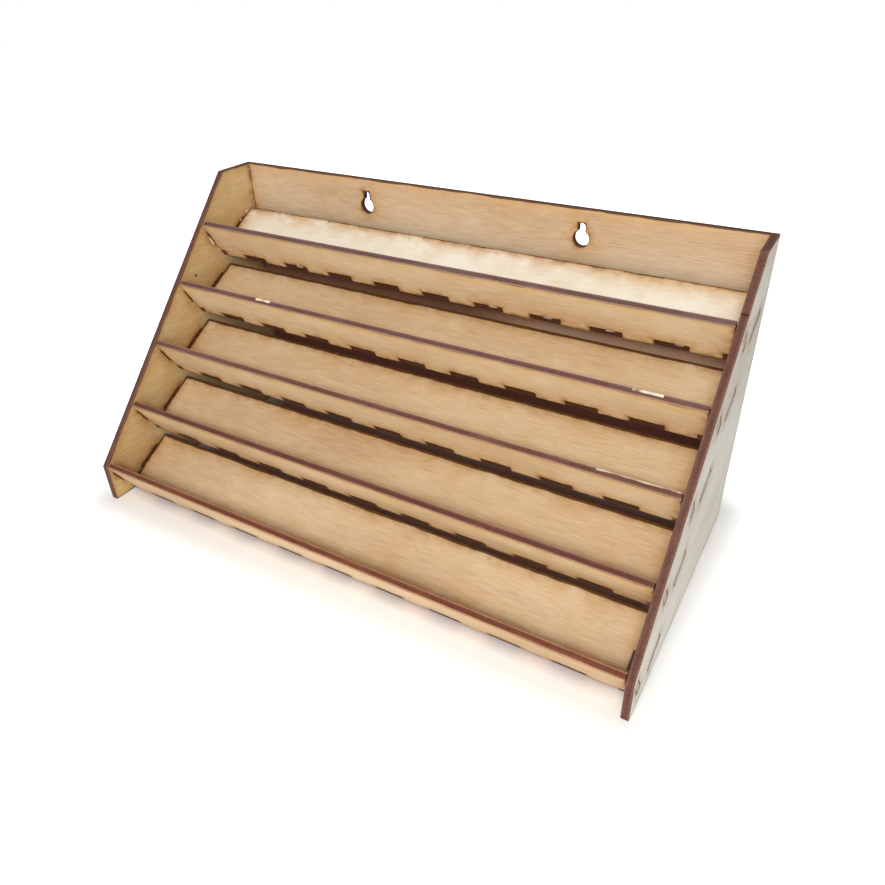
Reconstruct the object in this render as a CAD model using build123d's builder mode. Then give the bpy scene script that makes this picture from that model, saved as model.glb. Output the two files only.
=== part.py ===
from build123d import *
import math
import os

os.makedirs("parts", exist_ok=True)

# Five-tier tabletop rack cut from one thickness of plywood sheet, all sizes in mm.
# X runs along the width, the low front faces -Y, Z is up.
# The origin is on the table, under the middle of the footprint.

# --- driving sizes ---------------------------------------------------------
sheet = 4.0               # plywood thickness of every piece
rack_width = 350.0        # over both side panels
foot_height = 25.0        # upright front edge at the foot of a side panel
front_slope = 47.0        # degrees from level, sloping front edge of a side panel
first_lip = 39.0          # from the top of the sloping front edge down to the first lip
tier_count = 5
tier_pitch = 42.2         # from one lip to the next, along the sloping front edge
tray_tilt = 30.0          # degrees, shelves fall towards the front
lip_height = 27.5         # whole lip, square to the shelf
shelf_depth = 40.3        # from the front face of the lip to the rear edge
back_gap = 2.8            # from the top shelf's rear edge to the back panel

# --- joints ----------------------------------------------------------------
finger_count = 9
finger_width = 18.0
finger_pitch = 35.0
shelf_tab = 17.0          # length of a shelf's tab in the side panel
lip_tab = 10.0            # length of a lip's tab in the side panel
slot_play = 0.2           # on every side of a tab in its slot
finger_play = 0.1         # on both sides of a finger in its notch
notch_gap = 0.4           # light gap above each finger
end_gap = 0.6             # shelf and lip ends stop this short of the side panels
face_gap = 0.1            # shelf body to the back of the lip
flush_gap = 0.1           # tab and finger ends stop this short of the outer face
lip_inset = 0.3           # top edge of a lip behind the sloping front edge

# --- hanging holes in the back panel ----------------------------------------
keyhole_spacing = 146.0
keyhole_radius = 4.7      # round part that passes the screw head
keyhole_neck = 4.4        # width of the part that hangs on the screw
keyhole_drop = 16.7       # from the top edge down to the middle of the round part
keyhole_rise = 6.7        # from the round part up to the end of the neck

# --- sizes that follow from these -------------------------------------------
slope_cos = math.cos(math.radians(front_slope))
slope_sin = math.sin(math.radians(front_slope))
tilt_cos = math.cos(math.radians(tray_tilt))
tilt_sin = math.sin(math.radians(tray_tilt))
inner_width = rack_width - 2 * sheet
slope_length = first_lip + (tier_count - 1) * tier_pitch
rack_height = foot_height + slope_length * slope_sin
shelf_reach = shelf_depth * tilt_cos + lip_height * tilt_sin
lip_behind = lip_inset * slope_sin - first_lip * slope_cos
top_depth = lip_behind + shelf_reach + back_gap + sheet
rack_depth = top_depth + slope_length * slope_cos
rear = rack_depth / 2
front = -rack_depth / 2
board_length = inner_width - 2 * end_gap
tab_reach = sheet + end_gap - flush_gap
shelf_top = lip_height - sheet
body_start = sheet + face_gap
body_depth = shelf_depth - body_start
tab_center = (body_start + shelf_depth) / 2
notch_depth = sheet + notch_gap
keyhole_center = rack_height - keyhole_drop

# directions in the YZ plane: down the front edge, back along a shelf, up along a lip
down_slope = Vector(0, -slope_cos, -slope_sin)
into_panel = Vector(0, slope_sin, -slope_cos)
along_shelf = Vector(0, tilt_cos, tilt_sin)
along_lip = Vector(0, -tilt_sin, tilt_cos)
top_corner = Vector(0, rear - top_depth, rack_height)


def lip_edge(tier):
    """Top front edge of the lip of a tier, counted from 0 at the top."""
    return top_corner + down_slope * (first_lip + tier * tier_pitch) + into_panel * lip_inset


def lip_front(tier):
    """Front face of a lip: X along the rack, Y up the lip, looking out of the rack."""
    return Plane(origin=lip_edge(tier), x_dir=(1, 0, 0), z_dir=-along_shelf)


def shelf_face(tier):
    """Upper face of a shelf: X along the rack, Y back along the shelf from the lip's front."""
    corner = lip_edge(tier) - along_lip * shelf_top
    return Plane(origin=corner, x_dir=(1, 0, 0), z_dir=along_lip)


def finger_spots(height):
    """Centres of the fingers along a lip or a shelf, at one height in the sketch."""
    first = -finger_pitch * (finger_count - 1) / 2
    return [(first + finger_pitch * n, height) for n in range(finger_count)]


# --- side panels: one outline, a long and a short slot for every tier ---------
for side, side_name in ((-1, "side_left"), (1, "side_right")):
    outer_face = side * rack_width / 2
    with BuildPart() as side_panel:
        with BuildSketch(Plane.YZ.offset(outer_face)):
            with BuildLine():
                Polyline(
                    (rear, 0),
                    (rear, rack_height),
                    (rear - top_depth, rack_height),
                    (front, foot_height),
                    (front, 0),
                    close=True,
                )
            make_face()
        extrude(amount=-side * sheet)
        with BuildSketch(Plane.YZ.offset(outer_face)):
            for tier in range(tier_count):
                edge = lip_edge(tier)
                shelf_slot = edge + along_shelf * tab_center - along_lip * (shelf_top + sheet / 2)
                with Locations((shelf_slot.Y, shelf_slot.Z)):
                    Rectangle(shelf_tab + 2 * slot_play, sheet + 2 * slot_play, rotation=tray_tilt)
                lip_slot = edge + along_shelf * (sheet / 2) - along_lip * (shelf_top / 2)
                with Locations((lip_slot.Y, lip_slot.Z)):
                    Rectangle(sheet + 2 * slot_play, lip_tab + 2 * slot_play, rotation=tray_tilt)
        extrude(amount=-side * sheet, mode=Mode.SUBTRACT)
    side_panel.part.label = side_name
    export_step(side_panel.part, f"parts/{side_name}.step")


# --- back panel between the sides, with two keyholes for wall screws ----------
with BuildPart() as back_panel:
    with BuildSketch(Plane.XZ.offset(-rear)):
        with Locations((0, rack_height / 2)):
            Rectangle(inner_width, rack_height)
        with Locations((-keyhole_spacing / 2, keyhole_center), (keyhole_spacing / 2, keyhole_center)):
            Circle(keyhole_radius, mode=Mode.SUBTRACT)
        neck_spots = [
            (-keyhole_spacing / 2, keyhole_center + keyhole_rise / 2),
            (keyhole_spacing / 2, keyhole_center + keyhole_rise / 2),
        ]
        with Locations(*neck_spots):
            SlotCenterToCenter(keyhole_rise, keyhole_neck, rotation=90, mode=Mode.SUBTRACT)
    extrude(amount=sheet)
back_panel.part.label = "back_panel"
export_step(back_panel.part, "parts/back_panel.step")


# --- shelves: plain board, fingers along the front, one tab at each end -------
for tier in range(tier_count):
    with BuildPart() as shelf:
        with BuildSketch(shelf_face(tier)):
            with Locations((0, body_start + body_depth / 2)):
                Rectangle(board_length, body_depth)
            with Locations((0, tab_center)):
                Rectangle(board_length + 2 * tab_reach, shelf_tab)
            with Locations(*finger_spots((flush_gap + body_start) / 2)):
                Rectangle(finger_width, body_start - flush_gap)
        extrude(amount=-sheet)
    shelf.part.label = f"shelf_{tier + 1}"
    export_step(shelf.part, f"parts/shelf_{tier + 1}.step")


# --- lips: plain strip, notches along the bottom, one tab at each end ---------
for tier in range(tier_count):
    with BuildPart() as lip:
        with BuildSketch(lip_front(tier)):
            with Locations((0, -lip_height / 2)):
                Rectangle(board_length, lip_height)
            with Locations((0, -shelf_top / 2)):
                Rectangle(board_length + 2 * tab_reach, lip_tab)
            with Locations(*finger_spots(-lip_height + notch_depth / 2)):
                Rectangle(finger_width + 2 * finger_play, notch_depth, mode=Mode.SUBTRACT)
        extrude(amount=-sheet)
    lip.part.label = f"lip_{tier + 1}"
    export_step(lip.part, f"parts/lip_{tier + 1}.step")
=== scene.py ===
import math

import bpy
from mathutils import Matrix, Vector


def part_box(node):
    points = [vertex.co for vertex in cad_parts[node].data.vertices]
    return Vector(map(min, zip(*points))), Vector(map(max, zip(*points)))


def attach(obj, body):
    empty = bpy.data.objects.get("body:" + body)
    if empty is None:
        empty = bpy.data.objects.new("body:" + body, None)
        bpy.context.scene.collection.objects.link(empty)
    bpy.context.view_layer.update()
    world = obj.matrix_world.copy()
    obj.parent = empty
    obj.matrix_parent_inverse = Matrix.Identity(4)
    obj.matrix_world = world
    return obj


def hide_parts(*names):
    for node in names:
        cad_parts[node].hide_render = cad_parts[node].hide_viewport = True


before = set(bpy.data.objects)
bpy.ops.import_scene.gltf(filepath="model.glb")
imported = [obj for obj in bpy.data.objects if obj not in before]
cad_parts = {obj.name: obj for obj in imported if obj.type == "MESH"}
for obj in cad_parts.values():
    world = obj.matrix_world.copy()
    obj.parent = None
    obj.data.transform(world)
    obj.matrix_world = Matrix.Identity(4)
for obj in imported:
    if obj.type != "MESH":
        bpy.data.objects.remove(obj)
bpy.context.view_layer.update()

# ---------------------------------------------------------------------------
# Side panels: two five-sided boards that carry everything, cut by laser from a 4 mm sheet of
# birch plywood, with a long slot for each shelf's tab and a short one for each lip's. The glued
# joints hold them. The outer faces are the greyer back of the sheet, painted paler still as
# painted light for the bright light on them; the inner ones are its good face.

MM = 0.001
SHEET = 4.0  # mm, thickness of every board
SLOPE = math.radians(47.0)  # front edge of a side panel, from level
TILT = math.radians(30.0)  # shelves fall towards the front
TIERS = 5
PITCH = 42.2  # mm between tiers along the front edge
FIRST_LIP = 39.0  # mm from the upper front corner down to the first lip
EASED = 0.22  # mm, arris that the burning and handling have rounded
PANEL_FACE = 175.0  # mm from the middle of the rack to a side panel's outer face

ALONG_SHELF = Vector((0, math.cos(TILT), math.sin(TILT)))
ALONG_LIP = Vector((0, -math.sin(TILT), math.cos(TILT)))


def linear(hex_colour):
    """An sRGB hex colour as Blender's linear RGBA."""
    channels = [int(hex_colour[i : i + 2], 16) / 255 for i in (1, 3, 5)]
    bent = [c / 12.92 if c <= 0.04045 else ((c + 0.055) / 1.055) ** 2.4 for c in channels]
    return (*bent, 1.0)


def add(tree, kind, inputs=None, stops=None, **settings):
    """Adds a node, gives each of its inputs a value or a link, and sets a ramp's stops."""
    node = tree.nodes.new(kind)
    for name, value in settings.items():
        setattr(node, name, value)
    for name, value in (inputs or {}).items():
        if isinstance(value, bpy.types.Node):
            value = value.outputs[0]
        if isinstance(value, bpy.types.NodeSocket):
            tree.links.new(value, node.inputs[name])
        else:
            node.inputs[name].default_value = value
    if stops:
        ramp = node.color_ramp.elements
        while len(ramp) < len(stops):
            ramp.new(0.5)
        for stop, (place, hex_colour) in zip(ramp, stops):
            stop.position = place
            stop.color = linear(hex_colour)
    return node


def cut_board(node, name, corner, along, across, sheet_spot):
    """A clean mesh of a CAD board, with its cut edges eased, in the same place as the node.

    The board's drawing lies on its good face, with its zero point at corner. The attribute
    "drawing" keeps each point's place on it in mm: x along, y across, z down into the sheet.
    "on_sheet" is the same, moved to where this board was cut out, so that no two share a grain.
    """
    board = bpy.data.objects.new(name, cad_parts[node].data.copy())
    bpy.context.scene.collection.objects.link(board)
    bpy.ops.object.select_all(action="DESELECT")
    board.select_set(True)
    bpy.context.view_layer.objects.active = board
    bpy.ops.mesh.customdata_custom_splitnormals_clear()
    bpy.ops.object.mode_set(mode="EDIT")
    bpy.ops.mesh.select_all(action="SELECT")
    bpy.ops.mesh.remove_doubles(threshold=0.001 * MM)
    bpy.ops.mesh.dissolve_limited(angle_limit=math.radians(0.5))
    bpy.ops.object.mode_set(mode="OBJECT")
    easing = board.modifiers.new("eased arris", "BEVEL")
    easing.width = EASED * MM
    easing.segments = 2
    easing.angle_limit = math.radians(40)
    bpy.ops.object.modifier_apply(modifier=easing.name)

    mesh = board.data
    lowest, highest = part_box(node)
    for vertex in mesh.vertices:
        inside = [sorted(three)[1] for three in zip(lowest, vertex.co, highest)]
        vertex.co = inside
    out = along.cross(across)
    places = []
    spots = []
    for vertex in mesh.vertices:
        step = (vertex.co - corner) / MM
        place = Vector((step.dot(along), step.dot(across), -step.dot(out)))
        places.extend(place)
        spots.extend(place + Vector(sheet_spot))
    drawing = mesh.attributes.new("drawing", "FLOAT_VECTOR", "POINT")
    drawing.data.foreach_set("vector", places)
    on_sheet = mesh.attributes.new("on_sheet", "FLOAT_VECTOR", "POINT")
    on_sheet.data.foreach_set("vector", spots)
    return board


def dress(board, good_face, cut_edge, back_face, out):
    """Gives a board's good face, its cut edges and its back face their materials."""
    mesh = board.data
    mesh.materials.clear()
    for material in (good_face, cut_edge, back_face):
        mesh.materials.append(material)
    for face in mesh.polygons:
        facing = face.normal.dot(out)
        face.material_index = 0 if facing > 0.99 else 2 if facing < -0.99 else 1


def slab_distance(tree, point, centre, half):
    """Distance in mm from a point to an upright rectangle of the drawing, 0 inside it."""
    moved = add(tree, "ShaderNodeVectorMath", {0: point, 1: centre}, operation="SUBTRACT")
    folded = add(tree, "ShaderNodeVectorMath", {0: moved}, operation="ABSOLUTE")
    past = add(tree, "ShaderNodeVectorMath", {0: folded, 1: half}, operation="SUBTRACT")
    outside = add(tree, "ShaderNodeVectorMath", {0: past, 1: (0, 0, 0)}, operation="MAXIMUM")
    return add(tree, "ShaderNodeVectorMath", {0: outside}, operation="LENGTH").outputs["Value"]


def nearer(tree, first, second):
    """The smaller of two distances."""
    return add(tree, "ShaderNodeMath", {0: first, 1: second}, operation="MINIMUM").outputs[0]


def edge_distance(tree, point, sides):
    """Distance in mm from a point inside an outline to the nearest of its straight sides."""
    nearest = None
    for inward, offset in sides:
        reach = add(tree, "ShaderNodeVectorMath", {0: point, 1: inward}, operation="DOT_PRODUCT")
        level = add(tree, "ShaderNodeMath", {0: reach.outputs["Value"], 1: offset}, operation="ADD")
        nearest = level.outputs[0] if nearest is None else nearer(tree, nearest, level)
    return nearest


def spot_distance(tree, point, spots):
    """Distance in mm from a point to the nearest of some round spots (x, y, radius)."""
    nearest = None
    for x, y, radius in spots:
        flat = add(tree, "ShaderNodeVectorMath", {0: point, 1: (1, 1, 0)}, operation="MULTIPLY")
        reach = add(tree, "ShaderNodeVectorMath", {0: flat, 1: (x, y, 0)}, operation="DISTANCE")
        gap = add(
            tree, "ShaderNodeMath", {0: reach.outputs["Value"], 1: radius}, operation="SUBTRACT"
        )
        nearest = gap.outputs[0] if nearest is None else nearer(tree, nearest, gap)
    return nearest


def birch_veneer(
    name,
    pale,
    middle,
    deep,
    cut_distance,
    scorch_distance,
    smoke="#C0904E",
    smoke_share=0.6,
    smoke_width=7.0,
    line_width=0.3,
    pits=(),
    flecks=(),
):
    """Rotary-cut birch face veneer, sanded and left raw: satin, fine short grain, wavy figure.

    The laser leaves a golden smoke stain beside every cut, a brown scorch near the joints, and
    a burnt line right at the cut. Pits are dark dots and flecks pale spots (x, y, radius).
    """
    material = bpy.data.materials.new(name)
    material.use_nodes = True
    tree = material.node_tree
    shader = tree.nodes["Principled BSDF"]
    drawing = add(tree, "ShaderNodeAttribute", attribute_name="drawing").outputs["Vector"]
    on_sheet = add(tree, "ShaderNodeAttribute", attribute_name="on_sheet").outputs["Vector"]

    # broad drifts of tone, about 40 mm across and three times as long
    drift_place = add(tree, "ShaderNodeMapping", {"Vector": on_sheet, "Scale": (1 / 130, 1 / 40, 0)})
    drift = add(tree, "ShaderNodeTexNoise", {"Vector": drift_place, "Scale": 1.0, "Detail": 3.0})
    # wavy figure of the yearly growth, bands about 7 mm apart
    figure_place = add(tree, "ShaderNodeMapping", {"Vector": on_sheet, "Scale": (1 / 60, 1 / 14, 0)})
    figure = add(
        tree,
        "ShaderNodeTexNoise",
        {"Vector": figure_place, "Scale": 1.0, "Detail": 1.0, "Distortion": 1.6},
    )
    bands = add(tree, "ShaderNodeMath", {0: figure, 1: 9.0}, operation="MULTIPLY")
    band_wave = add(tree, "ShaderNodeMath", {0: bands, 1: 1.0}, operation="PINGPONG")
    # a thin dark line where each year's growth ends
    growth_line = add(
        tree,
        "ShaderNodeMapRange",
        {"Value": band_wave, "From Max": 0.14, "To Min": 0.09, "To Max": 0.0},
    )
    # fibres: real ones are 0.1 mm wide, drawn 0.6 mm wide so that they show
    fibre_place = add(tree, "ShaderNodeMapping", {"Vector": on_sheet, "Scale": (1 / 14, 1 / 0.6, 0)})
    fibre = add(tree, "ShaderNodeTexNoise", {"Vector": fibre_place, "Scale": 1.0, "Detail": 4.0})

    tone = add(tree, "ShaderNodeMath", {0: drift, 1: 0.68}, operation="MULTIPLY")
    tone = add(tree, "ShaderNodeMath", {0: band_wave, 1: 0.09, 2: tone}, operation="MULTIPLY_ADD")
    tone = add(tree, "ShaderNodeMath", {0: fibre, 1: 0.5, 2: tone}, operation="MULTIPLY_ADD")
    tone = add(tree, "ShaderNodeMath", {0: tone, 1: growth_line}, operation="ADD")
    wood = add(
        tree,
        "ShaderNodeValToRGB",
        {"Fac": tone},
        stops=[(0.46, pale), (0.64, middle), (0.84, deep)],
    )

    # smoke stain: strongest at the cut, 1.5 mm to smoke_width wide, in uneven puffs
    distance = cut_distance(tree, drawing)
    puff_place = add(tree, "ShaderNodeMapping", {"Vector": on_sheet, "Scale": (1 / 16, 1 / 16, 0)})
    puff = add(tree, "ShaderNodeTexNoise", {"Vector": puff_place, "Scale": 1.0, "Detail": 2.0})
    width = add(
        tree,
        "ShaderNodeMapRange",
        {"Value": puff, "From Min": 0.3, "From Max": 0.7, "To Min": 1.5, "To Max": smoke_width},
    )
    away = add(tree, "ShaderNodeMath", {0: distance, 1: width}, operation="DIVIDE")
    away = add(tree, "ShaderNodeMath", {0: away, 1: -1.0}, operation="MULTIPLY")
    fading = add(tree, "ShaderNodeMath", {0: away}, operation="EXPONENT")
    stain = add(tree, "ShaderNodeMath", {0: fading, 1: smoke_share}, operation="MULTIPLY")
    stained = add(
        tree, "ShaderNodeMixRGB", {"Fac": stain, "Color1": wood, "Color2": linear(smoke)}
    )
    # brown scorch that fades over 3 mm, in flame shapes about 5 mm wide
    flame_place = add(tree, "ShaderNodeMapping", {"Vector": on_sheet, "Scale": (1 / 6, 1 / 4, 0)})
    flame = add(tree, "ShaderNodeTexNoise", {"Vector": flame_place, "Scale": 1.0, "Detail": 3.0})
    scorched_at = scorch_distance(tree, drawing)
    scorch_reach = add(tree, "ShaderNodeMath", {0: scorched_at, 1: -0.4}, operation="MULTIPLY")
    scorch_fade = add(tree, "ShaderNodeMath", {0: scorch_reach}, operation="EXPONENT")
    thick = add(
        tree,
        "ShaderNodeMapRange",
        {"Value": flame, "From Min": 0.44, "From Max": 0.62, "To Min": 0.15, "To Max": 1.0},
    )
    scorch = add(tree, "ShaderNodeMath", {0: scorch_fade, 1: thick}, operation="MULTIPLY")
    scorched = add(
        tree, "ShaderNodeMixRGB", {"Fac": scorch, "Color1": stained, "Color2": linear("#83522C")}
    )
    # the burnt line at the cut, with a ragged side, and dull because soot has no shine. Where it is
    # drawn wide, as on the shelves, it is partly painted shade.
    ragged = add(tree, "ShaderNodeMath", {0: puff, 1: -1.6, 2: distance}, operation="MULTIPLY_ADD")
    ragged = add(tree, "ShaderNodeMath", {0: fibre, 1: 0.6, 2: ragged}, operation="MULTIPLY_ADD")
    burnt = add(
        tree,
        "ShaderNodeMapRange",
        {
            "Value": ragged,
            "From Min": line_width - 0.5,
            "From Max": line_width,
            "To Min": 0.88,
            "To Max": 0.0,
        },
    )
    coloured = add(
        tree, "ShaderNodeMixRGB", {"Fac": burnt, "Color1": scorched, "Color2": linear("#3C1C10")}
    )
    for spots, colour in ((pits, "#3E2416"), (flecks, "#F0E6D4")):
        if spots:
            gap = spot_distance(tree, drawing, spots)
            share = add(
                tree,
                "ShaderNodeMapRange",
                {"Value": gap, "From Min": -0.2, "From Max": 0.3, "To Min": 1.0, "To Max": 0.0},
            )
            coloured = add(
                tree,
                "ShaderNodeMixRGB",
                {"Fac": share, "Color1": coloured, "Color2": linear(colour)},
            )
    tree.links.new(coloured.outputs[0], shader.inputs["Base Color"])

    gloss = add(
        tree,
        "ShaderNodeMapRange",
        {"Value": fibre, "From Min": 0.3, "From Max": 0.7, "To Min": 0.46, "To Max": 0.62},
    )
    tree.links.new(gloss.outputs[0], shader.inputs["Roughness"])
    shine = add(
        tree,
        "ShaderNodeMapRange",
        {"Value": burnt, "From Max": 0.88, "To Min": 0.5, "To Max": 0.08},
    )
    tree.links.new(shine.outputs[0], shader.inputs["Specular IOR Level"])
    relief = add(tree, "ShaderNodeBump", {"Height": fibre, "Strength": 0.25, "Distance": 0.05 * MM})
    tree.links.new(relief.outputs[0], shader.inputs["Normal"])
    shader.inputs["IOR"].default_value = 1.45
    return material


def charred_edge(
    name, front_rim, plies, core, glue_line, rear_rim, ash_colour, unburnt_runs_and_glints=(), nicks=()
):
    """Edge of 4 mm plywood as the laser leaves it: charred brown, matt, three plies and two
    glue lines along it, and fine scorch lines across it.

    Pale runs are stretches that stayed unburnt, and also painted highlights where light glints
    (middle, half length, depth, half width, strength). Nicks are dark lines across a sloping
    edge, as distances down the slope.
    """
    material = bpy.data.materials.new(name)
    material.use_nodes = True
    tree = material.node_tree
    shader = tree.nodes["Principled BSDF"]
    drawing = add(tree, "ShaderNodeAttribute", attribute_name="drawing").outputs["Vector"]
    on_sheet = add(tree, "ShaderNodeAttribute", attribute_name="on_sheet").outputs["Vector"]

    # slow waves that carry the glue lines up and down by half a millimetre
    wave_place = add(tree, "ShaderNodeMapping", {"Vector": on_sheet, "Scale": (1 / 11, 1 / 11, 0)})
    wave = add(tree, "ShaderNodeTexNoise", {"Vector": wave_place, "Scale": 1.0, "Detail": 2.0})
    depth = add(tree, "ShaderNodeSeparateXYZ", {0: drawing}).outputs["Z"]
    level = add(tree, "ShaderNodeMath", {0: wave, 1: 0.5, 2: depth}, operation="MULTIPLY_ADD")
    share = add(
        tree,
        "ShaderNodeMapRange",
        {"Value": level, "From Min": 0.25, "From Max": 0.25 + SHEET},
    )
    layers = add(
        tree,
        "ShaderNodeValToRGB",
        {"Fac": share},
        stops=[
            (0.0, front_rim),
            (0.1, front_rim),
            (0.26, plies),
            (0.34, glue_line),
            (0.42, core),
            (0.6, core),
            (0.67, glue_line),
            (0.74, plies),
            (0.84, plies),
            (0.96, rear_rim),
        ],
    )
    # scorch lines of the pulsed beam, square to the sheet: real ones 0.2 mm apart, drawn 0.5 mm
    pulse_place = add(tree, "ShaderNodeMapping", {"Vector": on_sheet, "Scale": (2.0, 2.0, 0.25)})
    pulse = add(tree, "ShaderNodeTexNoise", {"Vector": pulse_place, "Scale": 1.0, "Detail": 3.0})
    shade = add(
        tree,
        "ShaderNodeMapRange",
        {"Value": pulse, "From Min": 0.3, "From Max": 0.7, "To Min": 0.45, "To Max": 0.0},
    )
    scorched = add(
        tree, "ShaderNodeMixRGB", {"Fac": shade, "Color1": layers, "Color2": linear("#2E1A14")}
    )
    # ash and soot in patches about 20 mm long
    ash_place = add(tree, "ShaderNodeMapping", {"Vector": on_sheet, "Scale": (1 / 22, 1 / 9, 1 / 3)})
    ash = add(tree, "ShaderNodeTexNoise", {"Vector": ash_place, "Scale": 1.0, "Detail": 3.0})
    ash_share = add(
        tree,
        "ShaderNodeMapRange",
        {"Value": ash, "From Min": 0.45, "From Max": 0.75, "To Min": 0.0, "To Max": 0.4},
    )
    ashen = add(
        tree,
        "ShaderNodeMixRGB",
        {"Fac": ash_share, "Color1": scorched, "Color2": linear(ash_colour)},
    )
    parts = add(tree, "ShaderNodeSeparateXYZ", {0: drawing})
    along_edge = add(
        tree, "ShaderNodeCombineXYZ", {0: parts.outputs["X"], 1: parts.outputs["Z"]}
    )
    # pale runs: unburnt stretches, and painted highlights where they stand for glints of light
    for middle, half_length, run_depth, half_width, strength in unburnt_runs_and_glints:
        run = slab_distance(
            tree, along_edge, (middle, run_depth, 0), (half_length, half_width, 0)
        )
        uneven = add(tree, "ShaderNodeMath", {0: wave, 1: 1.6, 2: run}, operation="MULTIPLY_ADD")
        clean = add(
            tree,
            "ShaderNodeMapRange",
            {"Value": uneven, "From Min": 0.75, "From Max": 1.1, "To Min": strength, "To Max": 0.0},
        )
        ashen = add(
            tree, "ShaderNodeMixRGB", {"Fac": clean, "Color1": ashen, "Color2": linear("#F0DFC2")}
        )
    # ends of the tabs, sanded flush with the side panels and pale again
    from_middle = add(tree, "ShaderNodeMath", {0: parts.outputs["X"]}, operation="ABSOLUTE")
    sanded = add(
        tree,
        "ShaderNodeMapRange",
        {
            "Value": from_middle,
            "From Min": PANEL_FACE - 0.5,
            "From Max": PANEL_FACE - 0.2,
            "To Max": 0.85,
        },
    )
    ashen = add(
        tree, "ShaderNodeMixRGB", {"Fac": sanded, "Color1": ashen, "Color2": linear("#CDC4B4")}
    )
    for nick in nicks:
        from_top = add(
            tree, "ShaderNodeVectorMath", {0: drawing, 1: TOP_CORNER}, operation="SUBTRACT"
        )
        down = add(
            tree, "ShaderNodeVectorMath", {0: from_top, 1: DOWN_SLOPE}, operation="DOT_PRODUCT"
        )
        off = add(tree, "ShaderNodeMath", {0: down.outputs["Value"], 1: nick}, operation="SUBTRACT")
        off = add(tree, "ShaderNodeMath", {0: off}, operation="ABSOLUTE")
        inside = add(
            tree, "ShaderNodeVectorMath", {0: from_top, 1: INTO_PANEL}, operation="DOT_PRODUCT"
        )
        off = add(tree, "ShaderNodeMath", {0: off, 1: inside.outputs["Value"]}, operation="MAXIMUM")
        dark = add(
            tree,
            "ShaderNodeMapRange",
            {"Value": off, "From Min": 0.25, "From Max": 0.7, "To Min": 0.85, "To Max": 0.0},
        )
        ashen = add(
            tree, "ShaderNodeMixRGB", {"Fac": dark, "Color1": ashen, "Color2": linear("#2A1512")}
        )
    tree.links.new(ashen.outputs[0], shader.inputs["Base Color"])
    dull = add(
        tree,
        "ShaderNodeMapRange",
        {"Value": ash, "From Min": 0.3, "From Max": 0.7, "To Min": 0.72, "To Max": 0.9},
    )
    tree.links.new(dull.outputs[0], shader.inputs["Roughness"])
    shader.inputs["Specular IOR Level"].default_value = 0.15
    relief = add(tree, "ShaderNodeBump", {"Height": pulse, "Strength": 0.5, "Distance": 0.15 * MM})
    tree.links.new(relief.outputs[0], shader.inputs["Normal"])
    return material


left_low, left_high = (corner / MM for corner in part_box("side_left"))
REAR = left_high.y
FRONT = left_low.y
HEIGHT = left_high.z
TOP_CORNER = Vector((FRONT + (FIRST_LIP + (TIERS - 1) * PITCH) * math.cos(SLOPE), HEIGHT, 0))
DOWN_SLOPE = Vector((-math.cos(SLOPE), -math.sin(SLOPE), 0))
INTO_PANEL = Vector((math.sin(SLOPE), -math.cos(SLOPE), 0))
TRAY_BACK = Vector((math.cos(TILT), math.sin(TILT), 0))
TRAY_UP = Vector((-math.sin(TILT), math.cos(TILT), 0))
LIP_INSET = 0.3  # mm, top edge of a lip behind the sloping front edge
SLOT_WINDOW = 8.8  # mm, middle of a tier's two slots above its lip, along the slope
# middle and half size of the slots in mm, back and up from the lip's top front corner
SHELF_SLOT = ((22.2, -25.5, 0), (8.7, 2.2, 0))
LIP_SLOT = ((2.0, -11.75, 0), (2.2, 5.2, 0))


def side_slots(tree, drawing):
    """Distance in mm to the nearest of a side panel's ten slots."""
    from_top = add(tree, "ShaderNodeVectorMath", {0: drawing, 1: TOP_CORNER}, operation="SUBTRACT")
    down = add(tree, "ShaderNodeVectorMath", {0: from_top, 1: DOWN_SLOPE}, operation="DOT_PRODUCT")
    tier = add(
        tree,
        "ShaderNodeMapRange",
        {
            "Value": down.outputs["Value"],
            "From Min": FIRST_LIP - SLOT_WINDOW,
            "From Max": FIRST_LIP - SLOT_WINDOW + (TIERS - 1) * PITCH,
            "To Max": TIERS - 1.0,
        },
    )
    tier = add(tree, "ShaderNodeMath", {0: tier}, operation="ROUND")
    drop = add(tree, "ShaderNodeMath", {0: tier, 1: PITCH, 2: FIRST_LIP}, operation="MULTIPLY_ADD")
    shift = add(tree, "ShaderNodeVectorMath", {0: DOWN_SLOPE, "Scale": drop}, operation="SCALE")
    at_lip = add(tree, "ShaderNodeVectorMath", {0: from_top, 1: shift}, operation="SUBTRACT")
    at_lip = add(
        tree, "ShaderNodeVectorMath", {0: at_lip, 1: INTO_PANEL * LIP_INSET}, operation="SUBTRACT"
    )
    back = add(tree, "ShaderNodeVectorMath", {0: at_lip, 1: TRAY_BACK}, operation="DOT_PRODUCT")
    up = add(tree, "ShaderNodeVectorMath", {0: at_lip, 1: TRAY_UP}, operation="DOT_PRODUCT")
    tray = add(
        tree, "ShaderNodeCombineXYZ", {0: back.outputs["Value"], 1: up.outputs["Value"]}
    )
    shelf_slot = slab_distance(tree, tray, *SHELF_SLOT)
    lip_slot = slab_distance(tree, tray, *LIP_SLOT)
    return nearer(tree, shelf_slot, lip_slot)


def side_joints(tree, drawing):
    """Distance in mm to the nearest slot or to the line where the back panel butts on."""
    rear_edge = edge_distance(tree, drawing, [((-1, 0, 0), REAR - SHEET)])
    rear_edge = add(tree, "ShaderNodeMath", {0: rear_edge}, operation="ABSOLUTE").outputs[0]
    return nearer(tree, rear_edge, side_slots(tree, drawing))


def side_cuts(tree, drawing):
    """Distance in mm to a side panel's outline or to the nearest of its ten slots."""
    outline = edge_distance(
        tree,
        drawing,
        [
            ((-1, 0, 0), REAR),
            ((1, 0, 0), -FRONT),
            ((0, 1, 0), 0.0),
            ((0, -1, 0), HEIGHT),
            (INTO_PANEL, -INTO_PANEL.dot(TOP_CORNER)),
        ],
    )
    return nearer(tree, outline, side_slots(tree, drawing))


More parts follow.
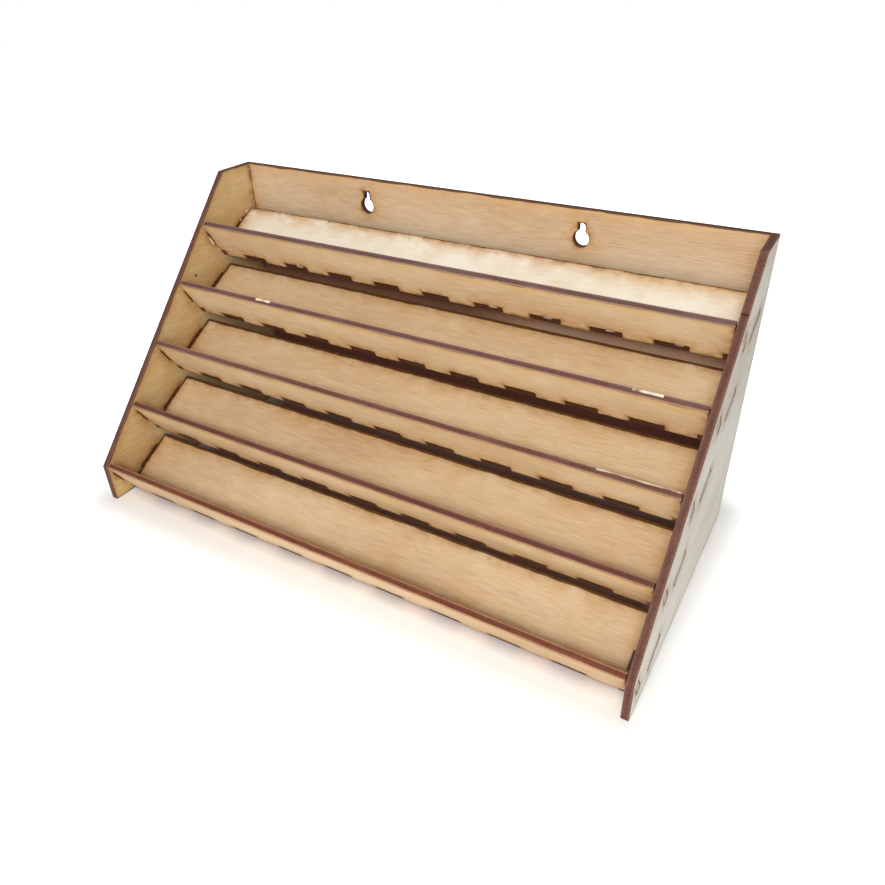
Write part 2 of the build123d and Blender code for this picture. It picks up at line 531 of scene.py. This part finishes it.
side_good = {
    "side_left": birch_veneer(
        "sanded birch veneer of the left panel",
        "#E1CBA0",
        "#D3B785",
        "#BE9D69",
        side_cuts,
        side_joints,
        smoke="#B07E36",
        smoke_share=0.75,
        pits=[(16.7, 118.4, 0.9)],
        flecks=[
            (35.2, 138.0, 1.0),
            (36.2, 136.2, 1.2),
            (37.2, 134.4, 1.0),
            (40.2, 129.0, 0.5),
            (65.6, 141.9, 0.9),
            (72.0, 146.5, 0.9),
        ],
    ),
    "side_right": birch_veneer(
        "sanded birch veneer of the right panel",
        "#D8C3A0",
        "#C9AE86",
        "#B5946A",
        side_cuts,
        side_joints,
    ),
}
# painted light: the back of the sheet is drawn paler than the wood alone, for the bright light on
# the outer faces
side_back_with_painted_light = birch_veneer(
    "pale back veneer of the side panels",
    "#ECE8E0",
    "#DED7CA",
    "#CDC3B2",
    side_cuts,
    side_slots,
    smoke="#C9B58F",
    smoke_share=0.4,
    pits=[(70.7, 2.4, 0.7)],
)
# colours of the charred edges: front rim, plies, core, glue line, rear rim and ash
SIDE_EDGE_COLOURS = ("#7A5646", "#6A463C", "#613D34", "#5A382F", "#705044", "#785A50")
RIGHT_NICK = 32.2  # mm down the slope to a dark nick across the right panel's front edge
side_edge = {
    "side_left": charred_edge("laser-charred edge of the left panel", *SIDE_EDGE_COLOURS),
    "side_right": charred_edge(
        "laser-charred edge of the right panel", *SIDE_EDGE_COLOURS, nicks=[RIGHT_NICK]
    ),
}

right_low, right_high = (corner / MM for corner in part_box("side_right"))
for side, name, inner, outer in (
    ("side_left", "left_side_panel", left_high.x, left_low.x),
    ("side_right", "right_side_panel", right_low.x, right_high.x),
):
    good_x = max(inner, outer)
    panel = cut_board(
        side,
        name,
        Vector((good_x, 0, 0)) * MM,
        Vector((0, 1, 0)),
        Vector((0, 0, 1)),
        (300.0 if side == "side_left" else 900.0, 140.0, 0),
    )
    faces = (side_good[side], side_edge[side], side_back_with_painted_light)
    if outer > inner:
        faces = (side_back_with_painted_light, side_edge[side], side_good[side])
    dress(panel, *faces, Vector((1, 0, 0)))
    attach(panel, "root")
    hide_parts(side)

# ---------------------------------------------------------------------------
# Back panel: one plain board between the sides, glued by its ends. Two keyholes take screws.
# It stands to the table and closes the rear, so it also shows through the gaps between trays.

back_low, back_high = (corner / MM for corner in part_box("back_panel"))
KEYHOLE_X = 73.0  # mm either side of the middle
KEYHOLE_DROP = 16.7  # mm from the top edge to the middle of the round part
KEYHOLE_RADIUS = 4.7
KEYHOLE_NECK = 4.4  # mm wide, with a round end
KEYHOLE_RISE = 6.7  # mm from the middle of the round part to the middle of the neck's end


def back_joints(tree, drawing):
    """Distance in mm to an end of the back panel or to the nearer keyhole."""
    ends = edge_distance(tree, drawing, [((-1, 0, 0), back_high.x), ((1, 0, 0), back_high.x)])
    flat = add(tree, "ShaderNodeVectorMath", {0: drawing, 1: (1, 1, 0)}, operation="MULTIPLY")
    folded = add(tree, "ShaderNodeVectorMath", {0: flat}, operation="ABSOLUTE")
    eye = (KEYHOLE_X, HEIGHT - KEYHOLE_DROP, 0)
    spoke = add(tree, "ShaderNodeVectorMath", {0: folded, 1: eye}, operation="DISTANCE")
    round_part = add(
        tree, "ShaderNodeMath", {0: spoke.outputs["Value"], 1: KEYHOLE_RADIUS}, operation="SUBTRACT"
    )
    neck = slab_distance(
        tree,
        folded,
        (KEYHOLE_X, HEIGHT - KEYHOLE_DROP + KEYHOLE_RISE / 2, 0),
        (KEYHOLE_NECK / 2, KEYHOLE_RISE / 2 + KEYHOLE_NECK / 2, 0),
    )
    return nearer(tree, ends, nearer(tree, round_part, neck))


def back_cuts(tree, drawing):
    """Distance in mm to the back panel's outline or to the nearer keyhole."""
    long_edges = edge_distance(tree, drawing, [((0, 1, 0), 0.0), ((0, -1, 0), HEIGHT)])
    return nearer(tree, long_edges, back_joints(tree, drawing))


back_veneer = birch_veneer(
    "sanded birch veneer of the back panel",
    "#C7B296",
    "#BB9F7F",
    "#A68865",
    back_cuts,
    back_joints,
)
# its inner face behind the trays, with painted shade: red-brown at the bottom, and painted
# light just below the top tray, paler most of all to the right
shaded_back_veneer = back_veneer.copy()
shaded_back_veneer.name = "birch veneer behind the trays with painted shade and light"
shaded_back_tree = shaded_back_veneer.node_tree
shaded_back_shader = shaded_back_tree.nodes["Principled BSDF"]
unshaded_wood = shaded_back_shader.inputs["Base Color"].links[0].from_socket
shade_place = add(shaded_back_tree, "ShaderNodeAttribute", attribute_name="drawing").outputs["Vector"]
shade_parts = add(shaded_back_tree, "ShaderNodeSeparateXYZ", {0: shade_place})
share_of_height = add(
    shaded_back_tree, "ShaderNodeMath", {0: shade_parts.outputs["Y"], 1: HEIGHT}, operation="DIVIDE"
)
# painted shade over the face up to just below the top tray, fading out above it
painted_shade_share = add(
    shaded_back_tree,
    "ShaderNodeValToRGB",
    {"Fac": share_of_height},
    stops=[(0.0, "#F4F4F4"), (0.63, "#F4F4F4"), (0.68, "#000000")],
)
share_of_width = add(
    shaded_back_tree,
    "ShaderNodeMath",
    {0: shade_parts.outputs["X"], 1: PANEL_FACE},
    operation="DIVIDE",
)
# painted light just below the top tray, paler towards the right
painted_light_to_right = add(
    shaded_back_tree,
    "ShaderNodeValToRGB",
    {"Fac": share_of_width},
    stops=[(0.0, "#9A6A50"), (0.3, "#E2B898")],
)
painted_light_below_top_tray = add(
    shaded_back_tree,
    "ShaderNodeValToRGB",
    {"Fac": share_of_height},
    stops=[(0.5, "#000000"), (0.56, "#FFFFFF")],
)
painted_shade_colour = add(
    shaded_back_tree,
    "ShaderNodeMixRGB",
    {"Fac": painted_light_below_top_tray, "Color1": linear("#6E3A2C"), "Color2": painted_light_to_right},
)
shaded_wood = add(
    shaded_back_tree, "ShaderNodeMixRGB", {"Fac": painted_shade_share, "Color1": unshaded_wood, "Color2": painted_shade_colour}
)
shaded_back_tree.links.new(shaded_wood.outputs[0], shaded_back_shader.inputs["Base Color"])

BACK_EDGE_COLOURS = ("#80603F", "#5A3C33", "#50332C", "#3B221D", "#80603F", "#6B5350")
back_edge = charred_edge("laser-charred edge of the back panel", *BACK_EDGE_COLOURS)
back = cut_board(
    "back_panel",
    "back_board",
    Vector((0, back_low.y, 0)) * MM,
    Vector((1, 0, 0)),
    Vector((0, 0, 1)),
    (250.0, 600.0, 0),
)
dress(back, shaded_back_veneer, back_edge, back_veneer, Vector((0, -1, 0)))
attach(back, "root")
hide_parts("back_panel")

# ---------------------------------------------------------------------------
# Shelves: five boards that fall towards the front by 30 degrees, grain along the rack. Nine
# fingers lock into the lip and a tab at each end into the side panel. All glued.

BOARD_END = 170.4  # mm from the middle to the end of a shelf or a lip
BODY_START = 4.1  # mm behind the front face of the lip
SHELF_DEPTH = 40.3
SHELF_TOP = 23.5  # mm from the lip's top edge down to the shelf's upper face


def shelf_cuts(tree, drawing):
    """Distance in mm to the outline of a shelf, fingers left out: they are burnt all over."""
    return edge_distance(
        tree,
        drawing,
        [
            ((-1, 0, 0), BOARD_END),
            ((1, 0, 0), BOARD_END),
            ((0, 1, 0), -BODY_START),
            ((0, -1, 0), SHELF_DEPTH),
        ],
    )


def lip_corner(tier):
    """Middle of the top front edge of a tier's lip, in mm, read from the CAD lip's box."""
    low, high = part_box(f"lip_{tier}")
    return Vector((0, low.y / MM, high.z / MM - SHEET * math.sin(TILT)))


# a dark dash on the lowest shelf beside the right side panel, behind the lowest lip, drawn as a
# row of dark spots
DASH_PLACE = 166.9  # mm to the right of the middle
DASH_START = 9.8  # mm behind the front of the lip
DASH_STEP = 0.6
DASH_SPOTS = 16
DASH_RADIUS = 0.75
DASH = [(DASH_PLACE, DASH_START + DASH_STEP * step, DASH_RADIUS) for step in range(DASH_SPOTS)]


def sanded_veneer(name, pits=()):
    """The veneer of a shelf's upper face, golden near its cuts, with an optional row of pits."""
    return birch_veneer(
        name,
        "#DBC39F",
        "#CEB089",
        "#B99873",
        shelf_cuts,
        shelf_cuts,
        smoke="#B9853A",
        smoke_share=0.9,
        # the dark line at every cut is drawn 1.6 mm wide: partly burnt, partly painted shade of the
        # gap behind the shelf's rear edge
        line_width=1.6,
        pits=pits,
    )


shelf_veneer = sanded_veneer("sanded birch veneer of the shelves")
lowest_veneer = sanded_veneer("sanded birch veneer of the lowest shelf", DASH)
# painted sheen: the top shelf is drawn much paler than the others, for the light that it catches
sheen_painted_top_veneer = birch_veneer(
    "birch veneer of the top shelf, painted pale for its sheen",
    "#F5EEE1",
    "#F1E8D5",
    "#E2D3B3",
    shelf_cuts,
    shelf_cuts,
    smoke="#C58E3E",
    smoke_share=0.9,
    smoke_width=9.0,
    line_width=0.4,
)
UPPER_FACES = {1: sheen_painted_top_veneer, TIERS: lowest_veneer}
# colours of the finger ends: front rim, plies, core, glue line, rear rim and ash, burnt and darkened
# further as painted shade of the notches that they sit in
BURNT_AND_SHADED_COLOURS = ("#3A1B0D", "#55301C", "#4A2614", "#31160A", "#3F2010", "#5C3A28")
FINGER_PITCH = 35.0
# painted highlights where light from the pale top tray glints over some of its fingers, at
# these places along the rack
GLINT_PLACES = (-101.5, 38.5, 72.0, 107.5, 144.0)  # mm from the middle
GLINTS = [(place, 2.2, 0.3, 0.3, 0.5) for place in GLINT_PLACES]
finger_edge = charred_edge("laser-burnt finger ends", *BURNT_AND_SHADED_COLOURS)
top_finger_edge_with_glints = charred_edge(
    "laser-burnt finger ends of the top shelf", *BURNT_AND_SHADED_COLOURS, unburnt_runs_and_glints=GLINTS
)

for tier in range(1, TIERS + 1):
    shelf = cut_board(
        f"shelf_{tier}",
        f"shelf_board_{tier}",
        (lip_corner(tier) - ALONG_LIP * SHELF_TOP) * MM,
        Vector((1, 0, 0)),
        ALONG_SHELF,
        (210.0 + 37.0 * tier, 1000.0 + 60.0 * tier, 0),
    )
    ends = top_finger_edge_with_glints if tier == 1 else finger_edge
    dress(shelf, UPPER_FACES.get(tier, shelf_veneer), ends, shelf_veneer, ALONG_LIP)
    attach(shelf, "root")
    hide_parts(f"shelf_{tier}")

# ---------------------------------------------------------------------------
# Lips: five strips square to the shelves that keep the goods in. Nine notches along the lower
# edge take the shelf's fingers, whose burnt ends show in them, and a tab at each end locks into
# the side panel. Their top edges are charred purple-brown, the lowest one's redder.

LIP_HEIGHT = 27.5
NOTCH_WIDTH = 18.2
NOTCH_DEPTH = 4.4


def lip_joints(tree, drawing):
    """Distance in mm to the ends or the lower edge of a lip or to the nearest of its notches."""
    outline = edge_distance(
        tree,
        drawing,
        [((-1, 0, 0), BOARD_END), ((1, 0, 0), BOARD_END), ((0, 1, 0), LIP_HEIGHT)],
    )
    parts = add(tree, "ShaderNodeSeparateXYZ", {0: drawing})
    from_finger = add(
        tree, "ShaderNodeMath", {0: parts.outputs["X"], 1: FINGER_PITCH / 2}, operation="PINGPONG"
    )
    folded = add(tree, "ShaderNodeCombineXYZ", {0: from_finger, 1: parts.outputs["Y"]})
    notch = slab_distance(
        tree,
        folded,
        (0, NOTCH_DEPTH / 2 - LIP_HEIGHT, 0),
        (NOTCH_WIDTH / 2, NOTCH_DEPTH / 2, 0),
    )
    return nearer(tree, outline, notch)


def lip_cuts(tree, drawing):
    """Distance in mm to the outline of a lip or to the nearest of its notches."""
    top_edge = edge_distance(tree, drawing, [((0, -1, 0), 0.0)])
    return nearer(tree, top_edge, lip_joints(tree, drawing))


lip_veneer = birch_veneer(
    "sanded birch veneer of the lips",
    "#D5BF9E",
    "#C8AE8A",
    "#B39470",
    lip_cuts,
    lip_joints,
    smoke="#BF8F45",
    smoke_share=0.65,
    line_width=0.15,
)
# colours of the lips' edges, tier by tier
LIP_EDGE_COLOURS = {
    1: ("#AC8A6A", "#7A5C56", "#6C4F4A", "#583C38", "#A88468", "#836A68"),
    2: ("#B08A6C", "#7A5850", "#6E4C46", "#5A3C36", "#C09A7C", "#83665E"),
    3: ("#B08A6C", "#785244", "#6C463A", "#55342B", "#C09A7C", "#84645A"),
    4: ("#B5886C", "#70463A", "#603A30", "#4A2A23", "#A87A60", "#7C5448"),
    5: ("#C79A78", "#804C36", "#6C3C2A", "#572B1D", "#B98A60", "#875A44"),
}
# stretches of the lips' top edges that stayed unburnt, tier by tier
PALE_RUNS = {
    2: [(141.0, 7.4, 3.1, 0.6, 1.0), (-100.5, 5.5, 3.1, 0.6, 1.0)],
    3: [(149.0, 20.0, 3.5, 0.3, 0.5)],
}

for tier in range(1, TIERS + 1):
    lip = cut_board(
        f"lip_{tier}",
        f"lip_strip_{tier}",
        lip_corner(tier) * MM,
        Vector((1, 0, 0)),
        ALONG_LIP,
        (180.0 + 53.0 * tier, 1500.0 + 45.0 * tier, 0),
    )
    lip_edge = charred_edge(
        f"laser-charred edge of lip {tier}",
        *LIP_EDGE_COLOURS[tier],
        unburnt_runs_and_glints=PALE_RUNS.get(tier, ()),
    )
    dress(lip, lip_veneer, lip_edge, lip_veneer, -ALONG_SHELF)
    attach(lip, "root")
    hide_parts(f"lip_{tier}")

# ---------------------------------------------------------------------------
# Table: a wide matt white sheet that the rack stands on. It glows white to the camera, less so
# near the rack, where it keeps the soft shadow.

bpy.ops.mesh.primitive_plane_add(size=6.0, location=(0, 0, -0.2 * MM))
table = bpy.context.object
table.name = "white_table"
paper = bpy.data.materials.new("matt white paper")
paper.use_nodes = True
paper_tree = paper.node_tree
paper_shader = paper_tree.nodes["Principled BSDF"]
paper_shader.inputs["Roughness"].default_value = 0.9
paper_shader.inputs["Emission Color"].default_value = (1, 1, 1, 1)
paper_ray = add(paper_tree, "ShaderNodeLightPath")
paper_place = add(paper_tree, "ShaderNodeTexCoord").outputs["Object"]
FOOTPRINT = (0.174, 0.084, 1.0)  # m, half size
UNDER_TRAYS = (0.155, 0.06, 1.0)  # m, half size
SHADE_FADE = 0.02  # m over which the brown shade turns white
GLOW_FADE = 0.05  # m over which the glow grows from nothing to full
from_rack = slab_distance(paper_tree, paper_place, (0, 0, 0), FOOTPRINT)
# brown shade under the rack, where only the gaps below the lips look in
under_rack = slab_distance(paper_tree, paper_place, (0, 0, 0), UNDER_TRAYS)
shade_level = add(
    paper_tree,
    "ShaderNodeMapRange",
    {"Value": under_rack, "From Max": SHADE_FADE, "To Max": 1.0},
)
paper_colour = add(
    paper_tree,
    "ShaderNodeMixRGB",
    {"Fac": shade_level, "Color1": linear("#A87C6C"), "Color2": linear("#F4F4F2")},
)
paper_tree.links.new(paper_colour.outputs[0], paper_shader.inputs["Base Color"])
paper_level = add(
    paper_tree,
    "ShaderNodeMapRange",
    {"Value": from_rack, "From Max": GLOW_FADE, "To Max": 1.0},
    interpolation_type="SMOOTHSTEP",
)
paper_glow = add(
    paper_tree,
    "ShaderNodeMath",
    {0: paper_ray.outputs["Is Camera Ray"], 1: paper_level},
    operation="MULTIPLY",
)
paper_tree.links.new(paper_glow.outputs[0], paper_shader.inputs["Emission Strength"])
table.data.materials.append(paper)

# ---------------------------------------------------------------------------
# Light: an even white room, a soft lamp high in front, a wide one low in front, level with the
# trays, and a weak one at the camera, which reaches into the gaps below the lips.

ROOM_LIGHT = 0.52  # what the room sheds; to the camera and in reflections it is plain white
AIM = Vector((0, 0, 0.08))  # m, the middle of the trays

world = bpy.data.worlds.new("white room")
bpy.context.scene.world = world
world.use_nodes = True
room_tree = world.node_tree
room = room_tree.nodes["Background"]
room.inputs["Color"].default_value = (1, 1, 1, 1)
room_ray = add(room_tree, "ShaderNodeLightPath")
seen = add(
    room_tree,
    "ShaderNodeMath",
    {0: room_ray.outputs["Is Camera Ray"], 1: room_ray.outputs["Is Glossy Ray"]},
    operation="MAXIMUM",
)
seen = add(
    room_tree,
    "ShaderNodeMath",
    {0: seen, 1: room_ray.outputs["Is Transmission Ray"]},
    operation="MAXIMUM",
)
room_level = add(
    room_tree, "ShaderNodeMapRange", {"Value": seen, "To Min": ROOM_LIGHT, "To Max": 1.0}
)
room_tree.links.new(room_level.outputs[0], room.inputs["Strength"])

for lamp_name, spot, size, watts in (
    ("high_front_softbox", (0.2, -0.92, 0.74), 0.35, 5.9),
    ("low_front_softbox", (0.15, -1.1, 0.12), 0.8, 5.4),
    ("camera_lamp", (0.27, -0.41, 0.37), 0.12, 0.75),
):
    lamp_data = bpy.data.lights.new(lamp_name, "AREA")
    lamp_data.shape = "DISK"
    lamp_data.size = size
    lamp_data.energy = watts
    lamp = bpy.data.objects.new(lamp_name, lamp_data)
    bpy.context.scene.collection.objects.link(lamp)
    lamp.location = spot
    beam = AIM - Vector(spot)
    lamp.rotation_euler = beam.to_track_quat("-Z", "Y").to_euler()

# ---------------------------------------------------------------------------
# Camera: held close, above and to the right of the front, as the photograph was taken.

SENSOR = 36.0  # mm
FRAME_SIDE = 885.0  # px, the photograph is square
FOCAL = 750.92  # px
MIDDLE = (450.35, 432.67)  # px, where the lens looks straight ahead
CAMERA_PLACE = Vector((217.84, -310.28, 299.57))  # mm
CAMERA_TURN = (57.018, 1.197, 29.968)  # degrees about X, Y and Z
camera_data = bpy.data.cameras.new("camera")
camera_data.sensor_width = SENSOR
camera_data.lens = FOCAL / FRAME_SIDE * SENSOR
camera_data.shift_x = (FRAME_SIDE / 2 - MIDDLE[0]) / FRAME_SIDE
camera_data.shift_y = (MIDDLE[1] - FRAME_SIDE / 2) / FRAME_SIDE
camera_data.clip_start = 0.01
camera = bpy.data.objects.new("camera", camera_data)
bpy.context.scene.collection.objects.link(camera)
camera.location = CAMERA_PLACE * MM
camera.rotation_euler = [math.radians(angle) for angle in CAMERA_TURN]
bpy.context.scene.camera = camera
bpy.context.scene.view_settings.view_transform = "Standard"
